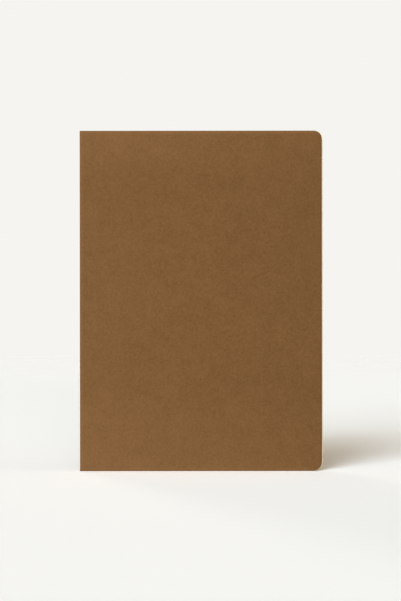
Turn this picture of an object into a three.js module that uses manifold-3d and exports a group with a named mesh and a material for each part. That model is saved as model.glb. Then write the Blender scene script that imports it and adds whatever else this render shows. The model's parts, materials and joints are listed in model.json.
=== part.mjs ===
// A board notebook, closed and standing on its tail. Nine sewn sections of four folded sheets
// lie between two boards covered in brown paper, and the covers are cut flush with the leaves.
// Millimetres, +Z up. The front cover faces -Y, the spine is at -X and the fore edge at +X.
// The origin is under the middle of the notebook, on the surface that it stands on.
import * as THREE from "three";
import { mergeVertices } from "three/addons/utils/BufferGeometryUtils.js";
import Module from "manifold-3d";

const wasm = await Module();
wasm.setup();

// Leaves and sections
const HEIGHT = 210; // head to tail, for the leaves and the covers alike
const LEAF_WIDTH = 148.5; // spine fold to fore edge
const LEAF_THICKNESS = 0.12;
const LEAF_GAP = 0.02; // air between two leaves of a section
const SHEETS_PER_SECTION = 4; // each folded once, so that it makes two leaves
const SECTIONS_EACH_SIDE = 4; // sections in front of the middle one, and as many behind it
const SECTION_GAP = 0.05; // air between two neighbouring sections
const PAGE_HEAD_RADIUS = 4.5; // rounded corner of the leaves at the head of the fore edge
const PAGE_TAIL_RADIUS = 5.1; // and at its tail

// Endpapers: one folded sheet inside each cover
const ENDPAPER_THICKNESS = 0.15;
const TIPPED_WIDTH = 5; // strip beside the fold that is glued to the outermost section
const COVER_GAP = 0.1; // air between a closed cover and the flyleaf

// Covers
const BOARD_THICKNESS = 1.2;
const COVER_PAPER_THICKNESS = 0.3; // the same sheet wraps both boards and the spine
const COVER_HEAD_RADIUS = 4.9;
const COVER_TAIL_RADIUS = 5.9;
const PAGES_PROUD = 0.7; // how far the leaves stand out past the covers at the fore edge
const BOARD_SETBACK = 0.15; // room at a board's spine edge for the paper hinge to bend

// Spine
const SPINE_CARD_THICKNESS = 0.5;
const MULL_THICKNESS = 0.2; // gauze glued over the sewing
const MULL_MARGIN = 10; // the gauze stops short of the head and the tail
const GLUE_LINE = 0.03; // between pieces that are glued together
const CREASE_GAP = 0.03; // where one sheet is creased and folds

// Sewing: a linked thread across the section folds at each station
const THREAD_DIAMETER = 0.4;
const STITCH_STATIONS = 5;
const STITCH_COVER = 6; // the first and last station lie this far inside the gauze's ends
const STITCH_SWING = 1.1; // how far the link stitch runs up and down beside its station

// Faceting
const COVER_CORNER_SEGMENTS = 10;
const PAGE_CORNER_SEGMENTS = 6;
const FOLD_SEGMENTS = 4;
const THREAD_SIDES = 5;
const THREAD_STEPS_PER_SECTION = 3;

// Places that follow from those sizes
const LEAF_PITCH = LEAF_THICKNESS + LEAF_GAP;
const SECTION_THICKNESS = 2 * SHEETS_PER_SECTION * LEAF_PITCH - LEAF_GAP;
const SECTION_PITCH = SECTION_THICKNESS + SECTION_GAP;
const SECTIONS = 2 * SECTIONS_EACH_SIDE + 1;
const BLOCK_HALF = (SECTIONS * SECTION_THICKNESS + (SECTIONS - 1) * SECTION_GAP) / 2;
const FLYLEAF_INNER = BLOCK_HALF + GLUE_LINE;
const PASTEDOWN_INNER = FLYLEAF_INNER + ENDPAPER_THICKNESS + COVER_GAP;
const BOARD_INNER = PASTEDOWN_INNER + ENDPAPER_THICKNESS + GLUE_LINE;
const PAPER_INNER = BOARD_INNER + BOARD_THICKNESS + GLUE_LINE;

const CARD_DEPTH = COVER_PAPER_THICKNESS + GLUE_LINE;
const MULL_DEPTH = CARD_DEPTH + SPINE_CARD_THICKNESS + GLUE_LINE;
const THREAD_DEPTH = MULL_DEPTH + MULL_THICKNESS + GLUE_LINE;
const FOLD_DEPTH = THREAD_DEPTH + THREAD_DIAMETER + GLUE_LINE;
const OVERALL_WIDTH = FOLD_DEPTH + LEAF_WIDTH;
const SPINE_X = -OVERALL_WIDTH / 2;
const FOLD_X = SPINE_X + FOLD_DEPTH;
const FORE_EDGE_X = FOLD_X + LEAF_WIDTH;
const COVER_EDGE_X = FORE_EDGE_X - PAGES_PROUD;
const BOARD_LEFT_X = SPINE_X + CARD_DEPTH + SPINE_CARD_THICKNESS + BOARD_SETBACK;
const TIPPED_EDGE_X = FOLD_X + TIPPED_WIDTH;
const PAGE_CORNERS = { head: PAGE_HEAD_RADIUS, tail: PAGE_TAIL_RADIUS };
const COVER_CORNERS = { head: COVER_HEAD_RADIUS, tail: COVER_TAIL_RADIUS };

function finish(color, roughness) {
  return new THREE.MeshStandardMaterial({ color, roughness, metalness: 0 });
}
const coverPaper = finish("#80593a", 0.88);
const greyboard = finish("#8d7f6b", 0.95);
const endpaper = finish("#e6dac2", 0.9);
const pagePaper = finish("#e8dcc6", 0.9);
const spineCard = finish("#a89c86", 0.95);
const gauze = finish("#d9d4c4", 1);
const linenThread = finish("#efe8d6", 0.8);

// A mesh's geometry as a solid that can be joined and cut.
function solidOf(geometry) {
  const bare = geometry.clone();
  bare.deleteAttribute("normal");
  bare.deleteAttribute("uv");
  const merged = mergeVertices(bare, 1e-4);
  const mesh = new wasm.Mesh({
    numProp: 3,
    vertProperties: merged.attributes.position.array,
    triVerts: new Uint32Array(merged.index.array),
  });
  return new wasm.Manifold(mesh);
}

function geometryOf(solid) {
  const mesh = solid.getMesh();
  const geometry = new THREE.BufferGeometry();
  geometry.setAttribute("position", new THREE.BufferAttribute(mesh.vertProperties, 3));
  geometry.setIndex(new THREE.BufferAttribute(mesh.triVerts, 1));
  geometry.computeVertexNormals();
  return geometry;
}

// The outline of a leaf or a cover seen from the front, with its fore-edge corners rounded.
function outline(left, right, bottom, top, corners) {
  const { head, tail } = corners;
  const shape = new THREE.Shape();
  shape.moveTo(left, bottom);
  shape.lineTo(right - tail, bottom);
  shape.absarc(right - tail, bottom + tail, tail, -Math.PI / 2, 0);
  shape.lineTo(right, top - head);
  shape.absarc(right - head, top - head, head, 0, Math.PI / 2);
  shape.lineTo(left, top);
  shape.closePath();
  return shape;
}

function rectangle(left, right, bottom, top) {
  const shape = new THREE.Shape();
  shape.moveTo(left, bottom);
  shape.lineTo(right, bottom);
  shape.lineTo(right, top);
  shape.lineTo(left, top);
  shape.closePath();
  return shape;
}

function extruded(shape, depth, curveSegments) {
  return new THREE.ExtrudeGeometry(shape, { depth, curveSegments, bevelEnabled: false });
}

// Stands a front-view outline upright: its thickness runs along Y, from front to back.
function upright(name, shape, front, back, material) {
  const mesh = new THREE.Mesh(extruded(shape, back - front, COVER_CORNER_SEGMENTS), material);
  mesh.name = name;
  mesh.rotation.x = Math.PI / 2;
  mesh.position.y = back;
  return mesh;
}

// A layer on one side of the block: side is -1 at the front and 1 at the back.
function layer(name, shape, side, inner, thickness, material) {
  const near = side * inner;
  const far = side * (inner + thickness);
  return upright(name, shape, Math.min(near, far), Math.max(near, far), material);
}

// One folded sheet of a section. The outermost sheet wraps the others, and each one inside it
// is folded closer; the innermost has a sharp crease. The fore-edge corners are rounded.
function foldedSheet(name, middleY, order) {
  const foldX = FOLD_X + SECTION_THICKNESS / 2;
  const outer = SECTION_THICKNESS / 2 - order * LEAF_PITCH;
  const inner = outer - LEAF_THICKNESS;
  const plan = new THREE.Shape();
  plan.moveTo(foldX, middleY - outer);
  plan.lineTo(FORE_EDGE_X, middleY - outer);
  plan.lineTo(FORE_EDGE_X, middleY - inner);
  plan.lineTo(foldX, middleY - inner);
  if (inner > LEAF_THICKNESS) {
    plan.absarc(foldX, middleY, inner, (3 * Math.PI) / 2, Math.PI / 2, true);
  }
  plan.lineTo(foldX, middleY + inner);
  plan.lineTo(FORE_EDGE_X, middleY + inner);
  plan.lineTo(FORE_EDGE_X, middleY + outer);
  plan.lineTo(foldX, middleY + outer);
  plan.absarc(foldX, middleY, outer, Math.PI / 2, (3 * Math.PI) / 2);
  const folded = solidOf(extruded(plan, HEIGHT, FOLD_SEGMENTS));
  const leaf = outline(FOLD_X - SECTION_THICKNESS, FORE_EDGE_X, 0, HEIGHT, PAGE_CORNERS);
  const trim = extruded(leaf, 2 * SECTION_THICKNESS, PAGE_CORNER_SEGMENTS);
  trim.rotateX(Math.PI / 2);
  trim.translate(0, middleY + SECTION_THICKNESS, 0);
  const mesh = new THREE.Mesh(geometryOf(folded.intersect(solidOf(trim))), pagePaper);
  mesh.name = name;
  return mesh;
}

// A cover: brown paper outside, board, and the half of the endpaper that is pasted down.
function cover(side, word) {
  const group = new THREE.Group();
  const wrap = outline(SPINE_X, COVER_EDGE_X, 0, HEIGHT, COVER_CORNERS);
  const board = outline(BOARD_LEFT_X, COVER_EDGE_X, 0, HEIGHT, COVER_CORNERS);
  group.add(
    layer(word + "_cover_paper", wrap, side, PAPER_INNER, COVER_PAPER_THICKNESS, coverPaper),
    layer(word + "_board", board, side, BOARD_INNER, BOARD_THICKNESS, greyboard),
    layer(word + "_pastedown", board, side, PASTEDOWN_INNER, ENDPAPER_THICKNESS, endpaper),
  );
  return group;
}

// The free half of the endpaper, and the strip of it that is glued beside the fold.
function flyleaf(side, word) {
  const strip = rectangle(FOLD_X + SECTION_THICKNESS / 2, TIPPED_EDGE_X, 0, HEIGHT);
  const leaf = outline(TIPPED_EDGE_X + CREASE_GAP, FORE_EDGE_X, 0, HEIGHT, PAGE_CORNERS);
  const group = new THREE.Group();
  group.add(
    layer(word + "_endpaper_strip", strip, side, FLYLEAF_INNER, ENDPAPER_THICKNESS, endpaper),
    layer(word + "_flyleaf", leaf, side, FLYLEAF_INNER, ENDPAPER_THICKNESS, endpaper),
  );
  return group;
}

// A flat strip along the spine, given by its depth from the spine's outer face.
function spineStrip(name, depth, thickness, half, margin, material) {
  const left = SPINE_X + depth;
  const shape = rectangle(left, left + thickness, margin, HEIGHT - margin);
  return upright(name, shape, -half, half, material);
}

// A thread that links every fold at one height, swinging up and down from fold to fold.
function sewing(name, height) {
  const points = [];
  for (let i = 0; i < SECTIONS; i += 1) {
    const y = (i - SECTIONS_EACH_SIDE) * SECTION_PITCH;
    const swing = i % 2 ? STITCH_SWING : -STITCH_SWING;
    points.push(new THREE.Vector3(0, y, swing));
  }
  const turn = (2 * Math.PI) / THREAD_SIDES;
  const ring = [];
  for (let i = 0; i < THREAD_SIDES; i += 1) {
    const radius = THREAD_DIAMETER / 2;
    ring.push(new THREE.Vector2(radius * Math.cos(i * turn), radius * Math.sin(i * turn)));
  }
  const geometry = new THREE.ExtrudeGeometry(new THREE.Shape(ring), {
    extrudePath: new THREE.CatmullRomCurve3(points),
    steps: THREAD_STEPS_PER_SECTION * (SECTIONS - 1),
    bevelEnabled: false,
  });
  const mesh = new THREE.Mesh(geometry, linenThread);
  mesh.name = name;
  mesh.position.set(SPINE_X + THREAD_DEPTH + THREAD_DIAMETER / 2, 0, height);
  return mesh;
}

// The sections from front to back, each a group of its sheets from the outermost inwards.
function textBlock() {
  const group = new THREE.Group();
  for (let i = 0; i < SECTIONS; i += 1) {
    const section = new THREE.Group();
    for (let order = 0; order < SHEETS_PER_SECTION; order += 1) {
      const name = "section_" + (i + 1) + "_sheet_" + (order + 1);
      section.add(foldedSheet(name, (i - SECTIONS_EACH_SIDE) * SECTION_PITCH, order));
    }
    group.add(section);
  }
  return group;
}

function spine() {
  const group = new THREE.Group();
  const wrapHalf = PAPER_INNER - CREASE_GAP;
  group.add(
    spineStrip("spine_paper", 0, COVER_PAPER_THICKNESS, wrapHalf, 0, coverPaper),
    spineStrip("spine_card", CARD_DEPTH, SPINE_CARD_THICKNESS, wrapHalf, 0, spineCard),
    spineStrip("spine_mull", MULL_DEPTH, MULL_THICKNESS, BLOCK_HALF, MULL_MARGIN, gauze),
  );
  const lowest = MULL_MARGIN + STITCH_COVER;
  const spacing = (HEIGHT - 2 * lowest) / (STITCH_STATIONS - 1);
  for (let i = 0; i < STITCH_STATIONS; i += 1) {
    group.add(sewing("sewing_thread_" + (i + 1), lowest + i * spacing));
  }
  return group;
}

const notebook = new THREE.Group();
notebook.add(spine(), textBlock());
for (const [side, word] of [[-1, "front"], [1, "back"]]) {
  notebook.add(cover(side, word), flyleaf(side, word));
}

export default notebook;
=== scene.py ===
# %% [markdown]
# A board notebook stands closed on its tail: nine sewn sections of four folded sheets between
# two boards, covered in one sheet of brown paper and cut flush with the leaves. The frame holds
# the right sizes and places of every piece. This lesson gives each piece its real surface and
# soft edges, and lets paper bend where the notebook opens. The frame is loaded first, because
# every size below is read from it.
# %% Load the frame
import json
import math
import random

import bmesh
import bpy
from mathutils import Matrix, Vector

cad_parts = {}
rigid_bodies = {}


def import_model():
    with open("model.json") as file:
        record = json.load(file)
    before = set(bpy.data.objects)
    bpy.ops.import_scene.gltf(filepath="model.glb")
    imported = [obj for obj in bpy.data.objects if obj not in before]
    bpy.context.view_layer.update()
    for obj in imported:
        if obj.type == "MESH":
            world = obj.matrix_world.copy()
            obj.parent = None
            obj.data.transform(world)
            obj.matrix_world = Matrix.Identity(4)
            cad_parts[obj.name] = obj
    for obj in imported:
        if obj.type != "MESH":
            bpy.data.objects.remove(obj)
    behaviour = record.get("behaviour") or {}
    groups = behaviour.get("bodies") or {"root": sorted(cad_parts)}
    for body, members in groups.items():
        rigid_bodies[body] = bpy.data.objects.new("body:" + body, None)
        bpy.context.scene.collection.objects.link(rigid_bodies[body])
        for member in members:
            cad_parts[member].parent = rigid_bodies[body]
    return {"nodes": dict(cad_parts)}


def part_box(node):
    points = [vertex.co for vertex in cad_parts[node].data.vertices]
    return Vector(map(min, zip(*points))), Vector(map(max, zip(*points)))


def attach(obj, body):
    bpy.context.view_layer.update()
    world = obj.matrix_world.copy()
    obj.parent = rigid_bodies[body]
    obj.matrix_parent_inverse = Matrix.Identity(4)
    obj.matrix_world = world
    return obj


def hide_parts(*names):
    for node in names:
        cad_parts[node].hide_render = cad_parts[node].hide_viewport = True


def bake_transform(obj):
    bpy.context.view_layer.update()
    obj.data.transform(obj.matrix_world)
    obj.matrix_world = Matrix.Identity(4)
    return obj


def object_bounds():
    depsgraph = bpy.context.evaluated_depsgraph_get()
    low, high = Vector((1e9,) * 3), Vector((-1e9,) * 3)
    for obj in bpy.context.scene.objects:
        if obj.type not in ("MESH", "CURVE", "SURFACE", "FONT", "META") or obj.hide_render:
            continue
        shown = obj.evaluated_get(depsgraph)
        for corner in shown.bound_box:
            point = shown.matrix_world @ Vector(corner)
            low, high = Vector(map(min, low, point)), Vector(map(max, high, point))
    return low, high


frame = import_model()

CAD_LOW, CAD_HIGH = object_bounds()
MM = 0.001
print("frame", [round(v / MM, 2) for v in (CAD_HIGH - CAD_LOW)], "mm")

# %% [markdown]
# The camera looked at the cover square on, from the height of its middle and from one metre.
# The picture shows no falling lines, so it is level. A picture 401 wide and 601 high has its
# long side on the sensor's width, so the lens follows from how large one millimetre appears.
# %% Camera
PICTURE_HEIGHT = 601
PIXELS_PER_MM = 1.6212
CAMERA_DISTANCE = 1.0
SENSOR = 36.0
FRONT_Y = CAD_LOW.y
MIDDLE_Z = (CAD_LOW.z + CAD_HIGH.z) / 2
CAMERA_X = -0.54 * MM
CAMERA_RISE = 0.25 * MM
CAMERA_ROLL = math.radians(0.06)
NEAREST_SEEN = 0.05

camera_data = bpy.data.cameras.new("camera")
camera_data.sensor_width = SENSOR
camera_data.lens = PIXELS_PER_MM / MM * CAMERA_DISTANCE / PICTURE_HEIGHT * SENSOR
camera_data.clip_start = NEAREST_SEEN
camera = bpy.data.objects.new("camera", camera_data)
camera.location = (CAMERA_X, FRONT_Y - CAMERA_DISTANCE, MIDDLE_Z + CAMERA_RISE)
camera.rotation_euler = (math.pi / 2, CAMERA_ROLL, 0)
bpy.context.scene.collection.objects.link(camera)
bpy.context.scene.camera = camera
bpy.context.scene.view_settings.view_transform = "Standard"
print("lens", round(camera_data.lens, 1), "mm")

# %% [markdown]
# Shader nodes are hard to read as a list of links. A small class wraps one output socket, so
# that maths on it can be written as Python: each operator adds one Math node. A second class
# holds a material and adds any other node from its type, its settings and its inputs.
# %% Shader maths as Python
class Value:
    """One output socket of a material."""

    def __init__(self, finish, socket):
        self.finish = finish
        self.socket = socket

    def maths(self, operation, first, second=0.0):
        inputs = {0: first, 1: second}
        return self.finish.node("ShaderNodeMath", {"operation": operation}, inputs)

    def __add__(self, other):
        return self.maths("ADD", self, other)

    def __radd__(self, other):
        return self.maths("ADD", other, self)

    def __sub__(self, other):
        return self.maths("SUBTRACT", self, other)

    def __rsub__(self, other):
        return self.maths("SUBTRACT", other, self)

    def __mul__(self, other):
        return self.maths("MULTIPLY", self, other)

    def __rmul__(self, other):
        return self.maths("MULTIPLY", other, self)

    def __truediv__(self, other):
        return self.maths("DIVIDE", self, other)

    def __gt__(self, other):
        return self.maths("GREATER_THAN", self, other)

    def __lt__(self, other):
        return self.maths("LESS_THAN", self, other)

    def floor(self):
        return self.maths("FLOOR", self)

    def sine(self):
        return self.maths("SINE", self)

    def least(self, other):
        return self.maths("MINIMUM", self, other)

    def most(self, other):
        return self.maths("MAXIMUM", self, other)

    def swing(self, amount):
        """Turns noise from 0 to 1 into a swing round zero."""
        return amount * (self - 0.5)


class Finish:
    """A material that is built up node by node."""

    def __init__(self, name, sheen=0.0, specular=0.3):
        self.material = bpy.data.materials.new(name)
        self.material.use_nodes = True
        self.tree = self.material.node_tree
        self.shader = self.tree.nodes["Principled BSDF"]
        self.shader.inputs["Specular IOR Level"].default_value = specular
        self.shader.inputs["Sheen Weight"].default_value = sheen

    def node(self, kind, settings=None, inputs=None, output=0):
        made = self.tree.nodes.new(kind)
        for key, value in (settings or {}).items():
            setattr(made, key, value)
        for key, value in (inputs or {}).items():
            self.feed(made.inputs[key], value)
        return Value(self, made.outputs[output])

    def feed(self, socket, value):
        if isinstance(value, Value):
            self.tree.links.new(value.socket, socket)
        else:
            socket.default_value = value

    def mix(self, share, first, second):
        """A colour between two others."""
        inputs = {0: share, 6: first, 7: second}
        return self.node("ShaderNodeMix", {"data_type": "RGBA"}, inputs, 2)

    def spots(self, where, scale, detail, roughness):
        """Cloudy noise from 0 to 1."""
        inputs = {"Vector": where, "Scale": scale, "Detail": detail, "Roughness": roughness}
        return self.node("ShaderNodeTexNoise", {}, inputs)

    def stretched(self, where, factors):
        """The place on the piece, drawn out along an axis, so that a pattern gets a direction."""
        inputs = {"Vector": where, "Scale": factors}
        return self.node("ShaderNodeMapping", {"vector_type": "POINT"}, inputs)

    def axes(self, where):
        split = self.node("ShaderNodeSeparateXYZ", {}, {"Vector": where})
        outputs = split.socket.node.outputs
        return [Value(self, outputs[axis]) for axis in "XYZ"]

    def bump(self, height, depth, strength):
        inputs = {"Height": height, "Distance": depth, "Strength": strength}
        return self.node("ShaderNodeBump", {}, inputs)

    def done(self, tone, roughness, relief):
        self.feed(self.shader.inputs["Base Color"], tone)
        self.feed(self.shader.inputs["Roughness"], roughness)
        self.feed(self.shader.inputs["Normal"], relief)
        return self.material


def colour(red, green, blue):
    """A colour given as it is seen, 0 to 255, in the linear values that shaders take."""
    seen = [value / 255 for value in (red, green, blue)]
    linear = [v / 12.92 if v < 0.04045 else ((v + 0.055) / 1.055) ** 2.4 for v in seen]
    return (*linear, 1.0)


print("middle grey, linear", [round(v, 3) for v in colour(128, 128, 128)])

# %% [markdown]
# The notebook stands on a plain pale floor that fades into the backdrop, so no horizon shows.
# A large plane would do, but its far edge would cut the picture. Here the floor mixes towards
# transparent with distance, and the world behind it has the same tone. The camera sees them
# pale, while the light that they send back onto the notebook is kept at a plain level.
# %% Floor and backdrop
FLOOR_REACH = 6.0
FLOOR_SIDES = 96
FADE_START = 0.7
FADE_LENGTH = 1.6
FLOOR_SEEN = (1.535, 1.545, 1.545, 1.0)
FLOOR_RETURNED = (0.76, 0.75, 0.725, 1.0)
BACKDROP_SEEN = (0.914, 0.905, 0.872, 1.0)
FILL_LIGHT = (0.098, 0.086, 0.07, 1.0)


def pale_floor():
    bpy.ops.object.select_all(action="DESELECT")
    bpy.ops.mesh.primitive_circle_add(vertices=FLOOR_SIDES, radius=FLOOR_REACH,
                                      fill_type="NGON")
    floor = bpy.context.object
    floor.name = "floor"
    finish = Finish("floor")
    path = finish.node("ShaderNodeLightPath")
    camera_ray = Value(finish, path.socket.node.outputs["Is Camera Ray"])
    where = finish.node("ShaderNodeTexCoord", output="Object")
    distance = finish.node("ShaderNodeVectorMath", {"operation": "LENGTH"}, {0: where}, "Value")
    ramp = {"From Min": FADE_START, "From Max": FADE_START + FADE_LENGTH}
    settings = {"interpolation_type": "SMOOTHSTEP"}
    fade = finish.node("ShaderNodeMapRange", settings, {"Value": distance, **ramp})
    tone = finish.mix(camera_ray, FLOOR_RETURNED, FLOOR_SEEN)
    matt = finish.node("ShaderNodeBsdfDiffuse", {}, {"Color": tone})
    clear = finish.node("ShaderNodeBsdfTransparent")
    both = finish.node("ShaderNodeMixShader", {}, {0: fade, 1: matt, 2: clear})
    surface = finish.tree.nodes["Material Output"].inputs["Surface"]
    finish.feed(surface, both)
    finish.tree.nodes.remove(finish.shader)
    floor.data.materials.append(finish.material)


def backdrop():
    world = bpy.data.worlds.new("backdrop")
    bpy.context.scene.world = world
    world.use_nodes = True
    tree = world.node_tree
    path = tree.nodes.new("ShaderNodeLightPath")
    seen = path.outputs["Is Camera Ray"]
    for ray in ("Is Glossy Ray", "Is Transmission Ray"):
        either = tree.nodes.new("ShaderNodeMath")
        either.operation = "MAXIMUM"
        tree.links.new(seen, either.inputs[0])
        tree.links.new(path.outputs[ray], either.inputs[1])
        seen = either.outputs[0]
    tone = tree.nodes.new("ShaderNodeMix")
    tone.data_type = "RGBA"
    tree.links.new(seen, tone.inputs[0])
    tone.inputs[6].default_value = FILL_LIGHT
    tone.inputs[7].default_value = BACKDROP_SEEN
    tree.links.new(tone.outputs[2], tree.nodes["Background"].inputs["Color"])


pale_floor()
backdrop()
print("floor reaches", FLOOR_REACH, "m and fades from", FADE_START, "m")

# %% [markdown]
# The shadow on the floor tells where the light is and what shape it has. It leaves the foot
# towards the back and the right, about 25 degrees off the line of sight. Its long side softens
# slowly and its far end very slowly, so the light is a tall window: about 30 degrees wide and
# twice as high. An area lamp of that size would light the near floor more than the far floor.
# Sun lamps don't weaken with distance, so three wide ones are stacked instead, each given by its
# height in degrees and its strength. The shadow is soft all round and has no twin on the other
# side, so the rest of the light comes from the window's own side: one warm and very wide lamp
# for the room. The last three lamps are low, so they hardly reach the floor. The one behind lets
# the back cover be seen. The one beside lights the fore edge, where the thin notebook throws
# next to no shadow. The one in front lights the leaves that stand out past the cover, and its
# shadow is hidden behind the notebook.
# %% Lamps
WINDOW_AZIMUTH = -25.5
WINDOW_TINT = (0.885, 1.0, 1.113)
WINDOW_PANES = {
    "window_low": (11, 0.55),
    "window_middle": (28, 0.84),
    "window_high": (45, 0.62),
}
PANE_WIDTH = 30
ROOM_TINT = (1.12, 0.99, 0.80)


def sun(name, azimuth, height, width, strength, tint):
    """A distant lamp. Azimuth 0 shines from the camera's side, and 90 from the right."""
    turn = math.radians(azimuth)
    rise = math.radians(height)
    away = Vector((math.sin(turn) * math.cos(rise), -math.cos(turn) * math.cos(rise),
                   math.sin(rise)))
    data = bpy.data.lights.new(name, "SUN")
    data.energy = strength
    data.color = tint
    data.angle = math.radians(width)
    lamp = bpy.data.objects.new(name, data)
    lamp.rotation_euler = away.to_track_quat("Z", "Y").to_euler()
    bpy.context.scene.collection.objects.link(lamp)


for name, (height, strength) in WINDOW_PANES.items():
    sun(name, WINDOW_AZIMUTH, height, PANE_WIDTH, strength, WINDOW_TINT)
sun("room", azimuth=-32, height=52, width=100, strength=0.54, tint=ROOM_TINT)
sun("behind", azimuth=-155, height=5, width=16, strength=1.3, tint=ROOM_TINT)
sun("side", azimuth=78, height=4, width=16, strength=0.82, tint=ROOM_TINT)
sun("front", azimuth=10, height=4, width=14, strength=0.75, tint=ROOM_TINT)
print("lamps", [light.name for light in bpy.data.lights])

# %% [markdown]
# Every size of the notebook is read from the frame, so the pieces fit without any fitting: the
# face of the spine, the edge of the covers, and where the leaves begin and end. Only the round
# corners are given, each as a radius at the head and one at the tail.
# %% Places in the frame
SPINE_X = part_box("spine_paper")[0].x
COVER_EDGE_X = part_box("front_cover_paper")[1].x
FORE_EDGE_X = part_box("front_flyleaf")[1].x
TIPPED_EDGE_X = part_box("front_endpaper_strip")[1].x
FOLD_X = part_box("section_5_sheet_1")[0].x
HEAD_Z = CAD_HIGH.z
TAIL_Z = CAD_LOW.z
HALF_THICKNESS = CAD_HIGH.y
COVER_CORNERS = (4.9 * MM, 5.9 * MM)
PAGE_CORNERS = (4.5 * MM, 5.1 * MM)
COVER_CORNER_STEPS = 14
PAGE_CORNER_STEPS = 8
print("spine at x", round(SPINE_X / MM, 2), "and fore edge at", round(FORE_EDGE_X / MM, 2), "mm")

# %% [markdown]
# A few helpers keep the modelling steps short. Operators act on whatever is selected, so
# everything is deselected first, and edges are then picked in code by where they lie.
# %% Modelling helpers
NEAR_REACH = 0.01 * MM
SHARP_ANGLE = math.radians(40)
SMOOTH_ANGLE = math.radians(50)


def start_from(primitive, name, **settings):
    """Adds a primitive, with its size and place written into its mesh, and enters edit mode."""
    bpy.ops.object.select_all(action="DESELECT")
    primitive(**settings)
    piece = bpy.context.object
    piece.name = name
    piece.data.name = name
    bpy.ops.object.transform_apply(location=True, rotation=True, scale=True)
    bpy.ops.object.mode_set(mode="EDIT")
    bpy.ops.mesh.select_all(action="DESELECT")
    return piece


def pick(piece, kind, test):
    """In edit mode, selects only the vertices or edges whose ends all pass the test."""
    bpy.ops.mesh.select_all(action="DESELECT")
    bpy.ops.mesh.select_mode(type=kind)
    mesh = bmesh.from_edit_mesh(piece.data)
    found = {"VERT": mesh.verts, "EDGE": mesh.edges}[kind]
    for item in found:
        ends = [item] if kind == "VERT" else item.verts
        if all(test(end.co) for end in ends):
            item.select_set(True)
    bmesh.update_edit_mesh(piece.data)


def near(value, place):
    return abs(value - place) < NEAR_REACH


def round_fore_edge(piece, edge_x, corners, steps):
    """Rounds the two fore-edge corners, as a corner cutter does."""
    head, tail = corners
    for place, radius in [(HEAD_Z, head), (TAIL_Z, tail)]:
        pick(piece, "EDGE", lambda co: near(co.x, edge_x) and near(co.z, place))
        bpy.ops.mesh.bevel(offset=radius, segments=steps, affect="EDGES")


def cut_columns(places):
    """In edit mode, cuts the mesh right through at each x, so that it can bend there."""
    for place in places:
        bpy.ops.mesh.select_all(action="SELECT")
        bpy.ops.mesh.bisect(plane_co=(place, 0, 0), plane_no=(1, 0, 0))


def apply_modifier(piece, kind, **settings):
    modifier = piece.modifiers.new(kind.lower(), kind)
    for key, value in settings.items():
        setattr(modifier, key, value)
    bpy.ops.object.modifier_apply(modifier=modifier.name)


def finish_piece(piece, material, edge, edge_steps=2):
    """Softens the edges, smooths the rounds, keeps the place for the pattern and dresses it."""
    bpy.ops.object.mode_set(mode="OBJECT")
    apply_modifier(piece, "BEVEL", width=edge, segments=edge_steps, limit_method="ANGLE",
                   angle_limit=SHARP_ANGLE)
    smooth_rounds(piece)
    remember_place(piece)
    piece.data.materials.clear()
    piece.data.materials.append(material)


def smooth_rounds(piece):
    """Smooths the rounds. The weighting keeps a flat face evenly lit up to its soft edge."""
    bpy.ops.object.shade_smooth_by_angle(angle=SMOOTH_ANGLE)
    apply_modifier(piece, "WEIGHTED_NORMAL", mode="FACE_AREA", weight=100, keep_sharp=True)


def remember_place(piece):
    """Stores where each point lies in the closed notebook, for patterns on paper that bends."""
    place = piece.data.attributes.new("place", "FLOAT_VECTOR", "POINT")
    for vertex, stored in zip(piece.data.vertices, place.data):
        stored.vector = vertex.co


def rest_place(finish):
    """The stored place of a point on a new piece."""
    return finish.node("ShaderNodeAttribute", {"attribute_name": "place"}, {}, "Vector")


print("corners", [round(r / MM, 1) for r in COVER_CORNERS], "mm at the cover")

# %% [markdown]
# The cover is uncoated brown paper, dyed through. Close up it has a fine even grain with a few
# pale fibres and specks, and from further off a faint cloudiness from handling and from how the
# pulp settled. It is painted paler towards its tail, its head and the spine: painted light, where
# more light falls on the cover. Along those edges a narrow band is paler still, partly rubbed
# paper and partly a painted highlight where light catches the rounded edge. A thin darker line
# runs along the fore edge and the tail edge. A photograph of paper would not follow the sheet
# round the spine, so the finish is built from noise of several sizes, from clouds to fibres, and
# from the distance to the edges.
# %% Brown cover paper
BROWN_DARK = colour(96, 65, 31)
BROWN_PALE = colour(134, 97, 61)
SPECK = colour(176, 146, 108)
# The tone of a thin darker line along the fore edge and the tail edge.
EDGE_DARK = colour(84, 62, 42)
# Width of the paler edge band: partly rubbed paper, partly a painted highlight where light catches
# the rounded edges.
RUB_AND_HIGHLIGHT_WIDTH = 2.2 * MM
EDGE_DARK_WIDTH = 1.3 * MM
# Painted light: how far and how strongly the paper is painted paler towards the tail, the head and
# the spine.
TAIL_LIGHT_REACH = 55 * MM
HEAD_LIGHT_REACH = 30 * MM
PAINTED_LIGHT_ACROSS = 0.2
PAINTED_LIGHT_AT_TAIL = 0.26
PAINTED_LIGHT_AT_HEAD = 0.2
BROWN_BALANCE = 0.52
SPECK_SIZE = 0.03
SPECK_RARITY = 0.955


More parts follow.
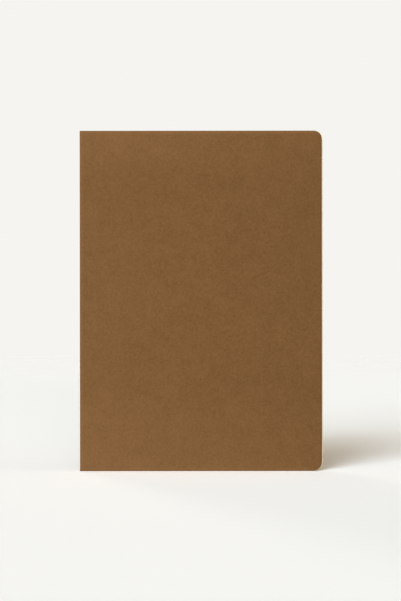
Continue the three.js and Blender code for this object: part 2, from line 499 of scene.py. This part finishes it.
def cover_paper_finish():
    finish = Finish("brown cover paper", specular=0.12)
    where = rest_place(finish)
    x, _, z = finish.axes(where)
    along_felt = finish.stretched(where, (1, 1, 0.35))
    along_fibres = finish.stretched(where, (1, 1, 0.4))
    cloud = finish.spots(where, scale=30, detail=2.0, roughness=0.5)
    blotch = finish.spots(where, scale=110, detail=3.0, roughness=0.6)
    grain = finish.spots(where, scale=800, detail=3.0, roughness=0.5)
    felt = finish.spots(along_felt, scale=700, detail=2.0, roughness=0.7)
    fibre = finish.spots(along_fibres, scale=3600, detail=3.0, roughness=0.6)
    cells = {"Vector": where, "Scale": 95.0}
    speck = finish.node("ShaderNodeTexVoronoi", {"feature": "F1"}, cells, "Distance")
    chance = finish.axes(finish.node("ShaderNodeTexVoronoi", {}, cells, "Color"))[0]
    specks = (speck < SPECK_SIZE) * (chance > SPECK_RARITY)
    # A paler band along the spine, head and tail edges: partly rubbed paper, partly a painted
    # highlight on the rounded edges.
    from_spine = (x - SPINE_X) / RUB_AND_HIGHLIGHT_WIDTH
    from_head = (HEAD_Z - z) / RUB_AND_HIGHLIGHT_WIDTH
    from_tail = (z - TAIL_Z) / RUB_AND_HIGHLIGHT_WIDTH
    nearest = from_spine.least(from_head).least(from_tail)
    rub_and_highlight = (1 - nearest).most(0.0) * (0.4 + 0.6 * felt)
    across = (x - SPINE_X) / (COVER_EDGE_X - SPINE_X)
    at_tail = (1 - (z - TAIL_Z) / TAIL_LIGHT_REACH).most(0.0)
    at_head = (1 - (HEAD_Z - z) / HEAD_LIGHT_REACH).most(0.0)
    at_ends = PAINTED_LIGHT_AT_TAIL * at_tail + PAINTED_LIGHT_AT_HEAD * at_head
    # Painted light: paler towards the spine, the tail and the head, where more light falls on the
    # cover.
    painted_light = PAINTED_LIGHT_ACROSS * (0.5 - across) + (1.1 - 0.5 * across) * at_ends
    share = BROWN_BALANCE + painted_light + cloud.swing(0.2) + blotch.swing(0.3) + grain.swing(0.76)
    share = share + fibre.swing(0.5)
    tone = finish.mix(share + 0.5 * rub_and_highlight, BROWN_DARK, BROWN_PALE)
    tone = finish.mix(specks * 0.7, tone, SPECK)
    # Darker in a thin line along the fore edge and the tail edge.
    fore_edge_dark = 1 - (COVER_EDGE_X - x) / EDGE_DARK_WIDTH
    tail_edge_dark = 1 - (z - TAIL_Z) / EDGE_DARK_WIDTH
    tone = finish.mix(0.6 * fore_edge_dark.most(0.5 * tail_edge_dark).most(0.0), tone, EDGE_DARK)
    height = 0.5 * fibre + 0.3 * felt + 0.2 * grain
    relief = finish.bump(height, depth=0.06 * MM, strength=0.5)
    return finish.done(tone, 0.8 + 0.12 * felt, relief)


brown_paper = cover_paper_finish()
print("brown paper has", len(brown_paper.node_tree.nodes), "nodes")

# %% [markdown]
# The leaves are smooth cream paper. Each sheet comes out of the pack with a hair of difference
# in tone, which draws fine lines on the trimmed edges of the block. One number per leaf, taken
# from its depth in the block, gives that tone, and a light cloudiness keeps the faces alive. The
# fore edge is painted paler than the faces, as painted light on the leaves that stand out past the
# cover. The endpapers are the same paper in a heavier weight, with a softer, more open surface.
# %% Leaves and endpapers
PAGE = colour(238, 228, 207)
PAGE_SHADE = colour(226, 213, 188)
ENDPAPER = colour(240, 231, 212)
ENDPAPER_SHADE = colour(230, 218, 195)
# Painted light: the paler tone of the fore edge of the leaves and endpapers.
PAINTED_LIGHT_RIM = colour(252, 242, 228)
PAINTED_LIGHT_RIM_WIDTH = 1.4 * MM
LEAF_PITCH = 0.14 * MM


def painted_light_rim(finish, x, tone):
    """Paints the fore edge paler than the faces: painted light on the leaves that stand out past
    the cover.
    """
    at_edge = 2 - 2 * (FORE_EDGE_X - x) / PAINTED_LIGHT_RIM_WIDTH
    return finish.mix(at_edge, tone, PAINTED_LIGHT_RIM)


def leaf_finish():
    finish = Finish("cream leaf paper", specular=0.25)
    where = rest_place(finish)
    x, depth, _ = finish.axes(where)
    leaf = (depth / LEAF_PITCH).floor()
    own = finish.node("ShaderNodeTexWhiteNoise", {"noise_dimensions": "1D"}, {"W": leaf})
    cloud = finish.spots(where, scale=60, detail=3.0, roughness=0.6)
    grain = finish.spots(where, scale=2600, detail=2.0, roughness=0.6)
    share = 0.15 + 0.4 * own + cloud.swing(0.35) + grain.swing(0.25)
    tone = painted_light_rim(finish, x, finish.mix(share, PAGE, PAGE_SHADE))
    relief = finish.bump(grain, depth=0.02 * MM, strength=0.4)
    return finish.done(tone, 0.78 + 0.1 * grain, relief)


def endpaper_finish():
    finish = Finish("cream endpaper", specular=0.25)
    where = rest_place(finish)
    x = finish.axes(where)[0]
    along_fibres = finish.stretched(where, (1, 1, 0.2))
    cloud = finish.spots(where, scale=38, detail=4.0, roughness=0.6)
    grain = finish.spots(where, scale=1500, detail=3.0, roughness=0.65)
    fibre = finish.spots(along_fibres, scale=900, detail=2.0, roughness=0.6)
    share = 0.3 + cloud.swing(0.7) + grain.swing(0.3) + fibre.swing(0.3)
    tone = painted_light_rim(finish, x, finish.mix(share, ENDPAPER, ENDPAPER_SHADE))
    relief = finish.bump(0.6 * grain + 0.4 * fibre, depth=0.05 * MM, strength=0.5)
    return finish.done(tone, 0.84 + 0.1 * grain, relief)


leaf_paper = leaf_finish()
end_paper = endpaper_finish()
print("leaf paper has", len(leaf_paper.node_tree.nodes), "nodes")

# %% [markdown]
# The boards show only at their cut edges. Greyboard is waste paper pressed in layers, so its
# edge has fine strata that run along the board, and its body holds dark and pale flecks. The
# strata are noise squeezed across the board's thickness. The strip of card behind the spine
# paper is paler and smoother.
# %% Board and card
GREYBOARD = colour(158, 141, 117)
GREYBOARD_DARK = colour(118, 101, 79)
CARD = colour(176, 162, 138)
CARD_DARK = colour(148, 132, 108)
FLECK = colour(84, 72, 60)
FLECK_SIZE = 0.3
FLECK_RARITY = 0.86


def pressed_finish(name, where_of, squeeze, pale, dark):
    """Pressed waste paper: strata across the thickness, flecks in the body."""
    finish = Finish(name, specular=0.2)
    where = where_of(finish)
    layered = finish.stretched(where, squeeze)
    strata = finish.spots(layered, scale=420, detail=3.0, roughness=0.7)
    body = finish.spots(where, scale=700, detail=4.0, roughness=0.7)
    cells = {"Vector": where, "Scale": 2600.0}
    fleck = finish.node("ShaderNodeTexVoronoi", {"feature": "F1"}, cells, "Distance")
    chance = finish.axes(finish.node("ShaderNodeTexVoronoi", {}, cells, "Color"))[0]
    flecks = (fleck < FLECK_SIZE) * (chance > FLECK_RARITY)
    tone = finish.mix(0.2 + 0.6 * strata + body.swing(0.5), pale, dark)
    tone = finish.mix(flecks * 0.5, tone, FLECK)
    relief = finish.bump(0.7 * strata + 0.3 * body, depth=0.12 * MM, strength=0.6)
    return finish.done(tone, 0.88 + 0.08 * body, relief)


def own_place(finish):
    """The place on a piece of the frame, which never bends."""
    return finish.node("ShaderNodeTexCoord", output="Object")


greyboard = pressed_finish("greyboard", rest_place, (1, 9, 1), GREYBOARD, GREYBOARD_DARK)
card = pressed_finish("spine card", own_place, (9, 1, 1), CARD, CARD_DARK)
print("greyboard has", len(greyboard.node_tree.nodes), "nodes")

# %% [markdown]
# Under the spine lie a strip of starched gauze and the sewing. Gauze is an open plain weave, so
# two crossed waves give its threads and the glue that fills its gaps. The linen thread is a
# twist of two strands, which shows as slanting stripes along it.
# %% Gauze and thread
GAUZE = colour(226, 220, 204)
GLUE = colour(196, 182, 150)
THREAD = colour(240, 232, 212)
THREAD_SHADE = colour(205, 192, 164)
GAUZE_PITCH = 0.9 * MM
TWIST_PITCH = 0.6 * MM


def gauze_finish():
    finish = Finish("starched gauze", specular=0.3)
    _, y, z = finish.axes(own_place(finish))
    turn = 2 * math.pi / GAUZE_PITCH
    upright = (y * turn).sine()
    across = (z * turn).sine()
    weave = upright.most(across)
    tone = finish.mix(0.5 + 0.5 * weave, GLUE, GAUZE)
    relief = finish.bump(weave, depth=0.1 * MM, strength=0.7)
    return finish.done(tone, 0.75 + 0.1 * weave, relief)


def thread_finish():
    finish = Finish("linen thread", sheen=0.2, specular=0.3)
    x, y, z = finish.axes(own_place(finish))
    slant = ((x + y + 0.6 * z) * (2 * math.pi / TWIST_PITCH)).sine()
    tone = finish.mix(0.5 + 0.5 * slant, THREAD_SHADE, THREAD)
    relief = finish.bump(slant, depth=0.05 * MM, strength=0.8)
    return finish.done(tone, 0.7 + 0.1 * slant, relief)


def dress(nodes, material):
    """Gives pieces of the frame their finish."""
    for name in nodes:
        frame["nodes"][name].material_slots[0].material = material


threads = [name for name in frame["nodes"] if name.startswith("sewing_thread")]
dress(["spine_card"], card)
dress(["spine_mull"], gauze_finish())
dress(threads, thread_finish())
print("dressed", 2 + len(threads), "pieces inside the spine")

# %% [markdown]
# One sheet of brown paper wraps the notebook from fore edge to fore edge. It is made in two
# halves that meet in the middle of the spine, because each half bends with its own cover. Each
# half starts as an upright plane the size of the cover. Its spine edge is extruded round to the
# middle of the spine, the fold is bevelled to the small radius that paper takes over a board,
# and the sheet then gets its thickness inwards. Narrow columns beside the fold let it bend.
# %% The brown wrap
PAPER_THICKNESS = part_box("front_cover_paper")[1].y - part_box("front_cover_paper")[0].y
WRAP_FOLD_RADIUS = 0.55 * MM
WRAP_FOLD_STEPS = 8
WRAP_EDGE = 0.07 * MM
HINGE_REACH = 1.0 * MM
HINGE_COLUMNS = (0.7, 0.85, 1.0, 1.2)
SEAM_SPARE = 0.5 * MM


def upright_plane(name, left, right, y):
    """A plane that stands along X, from tail to head."""
    centre = ((left + right) / 2, y, MIDDLE_Z)
    piece = start_from(bpy.ops.mesh.primitive_plane_add, name, size=1, location=centre,
                       rotation=(math.pi / 2, 0, 0))
    bpy.ops.mesh.select_all(action="SELECT")
    bpy.ops.transform.resize(value=(right - left, 1, HEAD_Z - TAIL_Z), center_override=centre)
    return piece


def round_sheet_corners(piece, edge_x, corners, steps, y):
    head, tail = corners
    for place, radius in [(HEAD_Z, head), (TAIL_Z, tail)]:
        pick(piece, "VERT", lambda co: near(co.x, edge_x) and near(co.z, place) and near(co.y, y))
        bpy.ops.mesh.bevel(offset=radius, segments=steps, affect="VERTICES")


def face_outwards(piece, direction):
    """Turns the sheet so that its largest face looks in a given direction."""
    mesh = bmesh.from_edit_mesh(piece.data)
    largest = max(mesh.faces, key=lambda face: face.calc_area())
    if largest.normal.dot(Vector(direction)) < 0:
        bpy.ops.mesh.select_all(action="SELECT")
        bpy.ops.mesh.flip_normals()


def cut_at_seam(piece, side):
    """Ends the half exactly in the middle of the spine, with a sharp edge that shows no seam."""
    bpy.ops.object.mode_set(mode="EDIT")
    bpy.ops.mesh.select_all(action="SELECT")
    bpy.ops.mesh.bisect(plane_co=(0, 0, 0), plane_no=(0, -side, 0), clear_outer=True, use_fill=True)
    bpy.ops.mesh.select_all(action="SELECT")
    bpy.ops.mesh.normals_make_consistent(inside=False)
    bpy.ops.object.mode_set(mode="OBJECT")
    smooth_rounds(piece)


def wrap(side, word):
    outside = side * HALF_THICKNESS
    piece = upright_plane(word + "_wrap", SPINE_X, COVER_EDGE_X, outside)
    round_sheet_corners(piece, COVER_EDGE_X, COVER_CORNERS, COVER_CORNER_STEPS, outside)
    pick(piece, "EDGE", lambda co: near(co.x, SPINE_X))
    past_middle = (0, -outside - side * SEAM_SPARE, 0)
    bpy.ops.mesh.extrude_edges_move(TRANSFORM_OT_translate={"value": past_middle})
    pick(piece, "EDGE", lambda co: near(co.x, SPINE_X) and near(co.y, outside))
    bpy.ops.mesh.bevel(offset=WRAP_FOLD_RADIUS, segments=WRAP_FOLD_STEPS, affect="EDGES")
    cut_columns([SPINE_X + share * HINGE_REACH for share in HINGE_COLUMNS])
    for share in HINGE_COLUMNS:
        bpy.ops.mesh.select_all(action="SELECT")
        bpy.ops.mesh.bisect(plane_co=(0, outside - side * share * HINGE_REACH, 0),
                            plane_no=(0, 1, 0))
    bpy.ops.mesh.select_all(action="SELECT")
    bpy.ops.mesh.normals_make_consistent(inside=False)
    face_outwards(piece, (0, side, 0))
    bpy.ops.object.mode_set(mode="OBJECT")
    apply_modifier(piece, "SOLIDIFY", thickness=PAPER_THICKNESS, offset=-1, use_even_offset=True)
    finish_piece(piece, brown_paper, WRAP_EDGE)
    cut_at_seam(piece, side)
    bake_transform(piece)
    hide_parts(word + "_cover_paper", "spine_paper")
    return piece


for side, word in [(-1, "front"), (1, "back")]:
    made = wrap(side, word)
    print(made.name, len(made.data.polygons), "faces")

# %% [markdown]
# Under the paper lies the board, and on its inside the half of the endpaper that is pasted
# down. Both are flat and cut with the cover. A cube the size of the layer is rounded at the
# fore edge and its cut edges are softened a little: the board was pressed through a guillotine.
# %% Boards and pastedowns
BOARD_EDGE = 0.12 * MM
ENDPAPER_EDGE = 0.03 * MM


def flat_layer(name, node, corners, columns=()):
    """A flat layer the size of a piece of the frame, rounded at the fore edge."""
    low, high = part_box(node)
    centre = (low + high) / 2
    piece = start_from(bpy.ops.mesh.primitive_cube_add, name, size=1, location=centre,
                       scale=high - low)
    if corners:
        round_fore_edge(piece, high.x, corners, COVER_CORNER_STEPS)
    cut_columns(columns)
    return piece


for word in ["front", "back"]:
    board = flat_layer(word + "_board_core", word + "_board", COVER_CORNERS)
    finish_piece(board, greyboard, BOARD_EDGE, 3)
    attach(board, word + "_cover")
    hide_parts(word + "_board")
    pasted = flat_layer(word + "_pasted_endpaper", word + "_pastedown", COVER_CORNERS)
    finish_piece(pasted, end_paper, ENDPAPER_EDGE)
    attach(pasted, word + "_cover")
    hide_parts(word + "_pastedown")
    print(board.name, len(board.data.polygons), "faces")

# %% [markdown]
# The free half of the endpaper is glued to the first section by a narrow strip beside the fold
# and turns at the edge of that strip. Paper doesn't hinge on a line: it takes a curve of about a
# centimetre, so the flyleaf has columns there. The strip follows the bend of the section under it.
# %% Flyleaves and their glued strips
FOLD_REACH = 4.0 * MM
FLYLEAF_REACH = 9.0 * MM
FOLD_COLUMNS = 10


def columns_between(start, end, count):
    return [start + (end - start) * i / count for i in range(1, count + 1)]


for word, section in [("front", "section_1"), ("back", "section_9")]:
    columns = columns_between(FOLD_X, FOLD_X + FOLD_REACH, FOLD_COLUMNS)[1:]
    strip = flat_layer(word + "_glued_strip", word + "_endpaper_strip", None, columns)
    finish_piece(strip, end_paper, ENDPAPER_EDGE)
    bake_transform(strip)
    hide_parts(word + "_endpaper_strip")
    columns = columns_between(TIPPED_EDGE_X, TIPPED_EDGE_X + FLYLEAF_REACH, FOLD_COLUMNS)
    leaf = flat_layer(word + "_free_endpaper", word + "_flyleaf", PAGE_CORNERS, columns)
    finish_piece(leaf, end_paper, ENDPAPER_EDGE)
    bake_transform(leaf)
    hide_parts(word + "_flyleaf")
    print(leaf.name, len(leaf.data.polygons), "faces")

# %% [markdown]
# Between the pasted half and the glued strip the endpaper crosses the hinge. When the cover
# opens, that narrow bridge is all that shows in the gutter. It is a thin strip with closely
# spaced columns, and it bends between the spine and the cover.
# %% Endpaper across the hinge
BRIDGE_LEFT = SPINE_X + 1.15 * MM
BRIDGE_RIGHT = SPINE_X + 8.0 * MM
BRIDGE_BEND = (SPINE_X + 1.2 * MM, SPINE_X + 3.2 * MM)
BRIDGE_THICKNESS = 0.05 * MM
BRIDGE_COLUMNS = 16


def bridge(side, word):
    pasted_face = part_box(word + "_pastedown")[0 if side > 0 else 1].y
    flyleaf_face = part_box(word + "_flyleaf")[1 if side > 0 else 0].y
    middle = (pasted_face + flyleaf_face) / 2
    piece = upright_plane(word + "_gutter_paper", BRIDGE_LEFT, BRIDGE_RIGHT, middle)
    cut_columns(columns_between(BRIDGE_BEND[0], BRIDGE_BEND[1], BRIDGE_COLUMNS))
    face_outwards(piece, (0, side, 0))
    bpy.ops.object.mode_set(mode="OBJECT")
    apply_modifier(piece, "SOLIDIFY", thickness=BRIDGE_THICKNESS, offset=0)
    finish_piece(piece, end_paper, BRIDGE_THICKNESS / 5, 1)
    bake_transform(piece)
    return piece


for side, word in [(-1, "front"), (1, "back")]:
    print(bridge(side, word).name, "lies at", word)

# %% [markdown]
# A section is four sheets, folded once and nested. Each sheet is made as by hand: a plane for
# the first leaf, its spine edge spun half a turn round the middle of the section, and the edge
# that this leaves extruded to the fore edge as the second leaf. After the corners are rounded
# it gets the thickness of paper. The trimmed edges of real leaves are never quite level, so
# each leaf ends a few hundredths of a millimetre short of the next.
# %% Folded sheets
LEAF_THICKNESS = 0.12 * MM
LEAF_EDGE = 0.02 * MM
FOLD_STEPS = 12
SHEET_COLUMNS = 8
TRIM_SPREAD = 0.07 * MM
SECTION_TRIM_SPREAD = 0.05 * MM
SECTIONS = 9
MIDDLE_SECTION = 5
SHEETS_PER_SECTION = 4
TRIM_SEED = 7
random.seed(TRIM_SEED)


def folded_sheet(order):
    """One sheet of the middle section, with order 1 outermost."""
    low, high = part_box(f"section_{MIDDLE_SECTION}_sheet_{order}")
    around_x = FOLD_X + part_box(f"section_{MIDDLE_SECTION}_sheet_1")[1].y
    radius = high.y - LEAF_THICKNESS / 2
    first_edge = FORE_EDGE_X - random.uniform(0, TRIM_SPREAD)
    second_edge = FORE_EDGE_X - random.uniform(0, TRIM_SPREAD)
    piece = upright_plane(f"sheet_{order}", around_x, first_edge, -radius)
    round_sheet_corners(piece, first_edge, PAGE_CORNERS, PAGE_CORNER_STEPS, -radius)
    pick(piece, "EDGE", lambda co: near(co.x, around_x))
    bpy.ops.mesh.spin(steps=FOLD_STEPS, angle=math.pi, center=(around_x, 0, 0), axis=(0, 0, 1))
    bpy.ops.mesh.extrude_edges_move(
        TRANSFORM_OT_translate={"value": (second_edge - around_x, 0, 0)})
    round_sheet_corners(piece, second_edge, PAGE_CORNERS, PAGE_CORNER_STEPS, radius)
    bpy.ops.mesh.select_all(action="SELECT")
    bpy.ops.mesh.normals_make_consistent(inside=False)
    cut_columns(columns_between(around_x, FOLD_X + FOLD_REACH, SHEET_COLUMNS))
    bpy.ops.object.mode_set(mode="OBJECT")
    apply_modifier(piece, "SOLIDIFY", thickness=LEAF_THICKNESS, offset=0, use_even_offset=True)
    finish_piece(piece, leaf_paper, LEAF_EDGE, 1)
    return piece


def copied(piece, name, move):
    """A copy with its own mesh, moved to its place."""
    copy = piece.copy()
    copy.data = piece.data.copy()
    copy.name = name
    copy.data.name = name
    for vertex in copy.data.vertices:
        vertex.co += move
    copy.data.attributes.remove(copy.data.attributes["place"])
    remember_place(copy)
    bpy.context.scene.collection.objects.link(copy)
    return copy


def bind_sections():
    patterns = [folded_sheet(order) for order in range(1, SHEETS_PER_SECTION + 1)]
    middle_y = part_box(f"section_{MIDDLE_SECTION}_sheet_1")[1].y
    for number in range(1, SECTIONS + 1):
        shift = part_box(f"section_{number}_sheet_1")[1].y - middle_y
        setback = -random.uniform(0, SECTION_TRIM_SPREAD)
        for order, pattern in enumerate(patterns, 1):
            name = f"section_{number}_sheet_{order}"
            sheet = copied(pattern, f"section_{number}_folded_{order}", Vector((0, shift, 0)))
            for vertex in sheet.data.vertices:
                if vertex.co.x > FOLD_X + FOLD_REACH:
                    vertex.co.x += setback
            if number == MIDDLE_SECTION:
                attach(sheet, "spine")
            else:
                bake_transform(sheet)
            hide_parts(name)
    for pattern in patterns:
        bpy.data.objects.remove(pattern)


bind_sections()
sheets = [o for o in bpy.context.scene.objects if "_folded_" in o.name]
print(len(sheets), "folded sheets,", sum(len(o.data.polygons) for o in sheets), "faces")

# %% [markdown]
# At head and tail, past the gauze, glue fills the room between the spine card and the folds and
# runs into the valleys between the sections. It is a block with nine round grooves, one for each
# fold. A block is cut by a rod as thick as a section, once for each section, so that the glue
# fits the folds exactly. Dried glue is pale, smooth and slightly shiny.
# %% Glue at head and tail
GLUE_CLEARANCE = 0.02 * MM
GLUE_IN_VALLEYS = 0.32 * MM
GLUE_RECESS = 0.25 * MM
GLUE_EDGE = 0.03 * MM
GROOVE_SIDES = 48
GLUE_PALE = colour(226, 217, 194)
GLUE_DEEP = colour(203, 190, 158)


def glue_finish():
    finish = Finish("binding glue", specular=0.5)
    where = rest_place(finish)
    cloud = finish.spots(where, scale=900, detail=2.0, roughness=0.5)
    tone = finish.mix(cloud, GLUE_DEEP, GLUE_PALE)
    relief = finish.bump(cloud, depth=0.08 * MM, strength=0.6)
    return finish.done(tone, 0.3 + 0.2 * cloud, relief)


def groove_for_fold(block, number):
    """Takes the round back of one section out of the block."""
    low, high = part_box(f"section_{number}_sheet_1")
    radius = (high.y - low.y) / 2
    centre = (FOLD_X + radius, (low.y + high.y) / 2, MIDDLE_Z)
    bpy.ops.object.select_all(action="DESELECT")
    bpy.ops.mesh.primitive_cylinder_add(vertices=GROOVE_SIDES, radius=radius + GLUE_CLEARANCE,
                                        depth=2 * (HEAD_Z - TAIL_Z), location=centre)
    rod = bpy.context.object
    bpy.context.view_layer.objects.active = block
    apply_modifier(block, "BOOLEAN", object=rod, operation="DIFFERENCE", solver="EXACT")
    bpy.data.objects.remove(rod)


def glue(name, low_z, high_z, finish):
    card_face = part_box("spine_card")[1].x + GLUE_CLEARANCE
    half_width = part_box("spine_mull")[1].y
    low = Vector((card_face, -half_width, low_z))
    high = Vector((FOLD_X + GLUE_IN_VALLEYS, half_width, high_z))
    block = start_from(bpy.ops.mesh.primitive_cube_add, name, size=1, location=(low + high) / 2,
                       scale=high - low)
    bpy.ops.object.mode_set(mode="OBJECT")
    for number in range(1, SECTIONS + 1):
        groove_for_fold(block, number)
    finish_piece(block, finish, GLUE_EDGE)
    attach(block, "spine")
    return block


gauze_low, gauze_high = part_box("spine_mull")
dried_glue = glue_finish()
glue("head_glue", gauze_high.z + GLUE_CLEARANCE, HEAD_Z - GLUE_RECESS, dried_glue)
made = glue("tail_glue", TAIL_Z + GLUE_RECESS, gauze_low.z - GLUE_CLEARANCE, dried_glue)
print("glue blocks have", len(made.data.polygons), "faces")
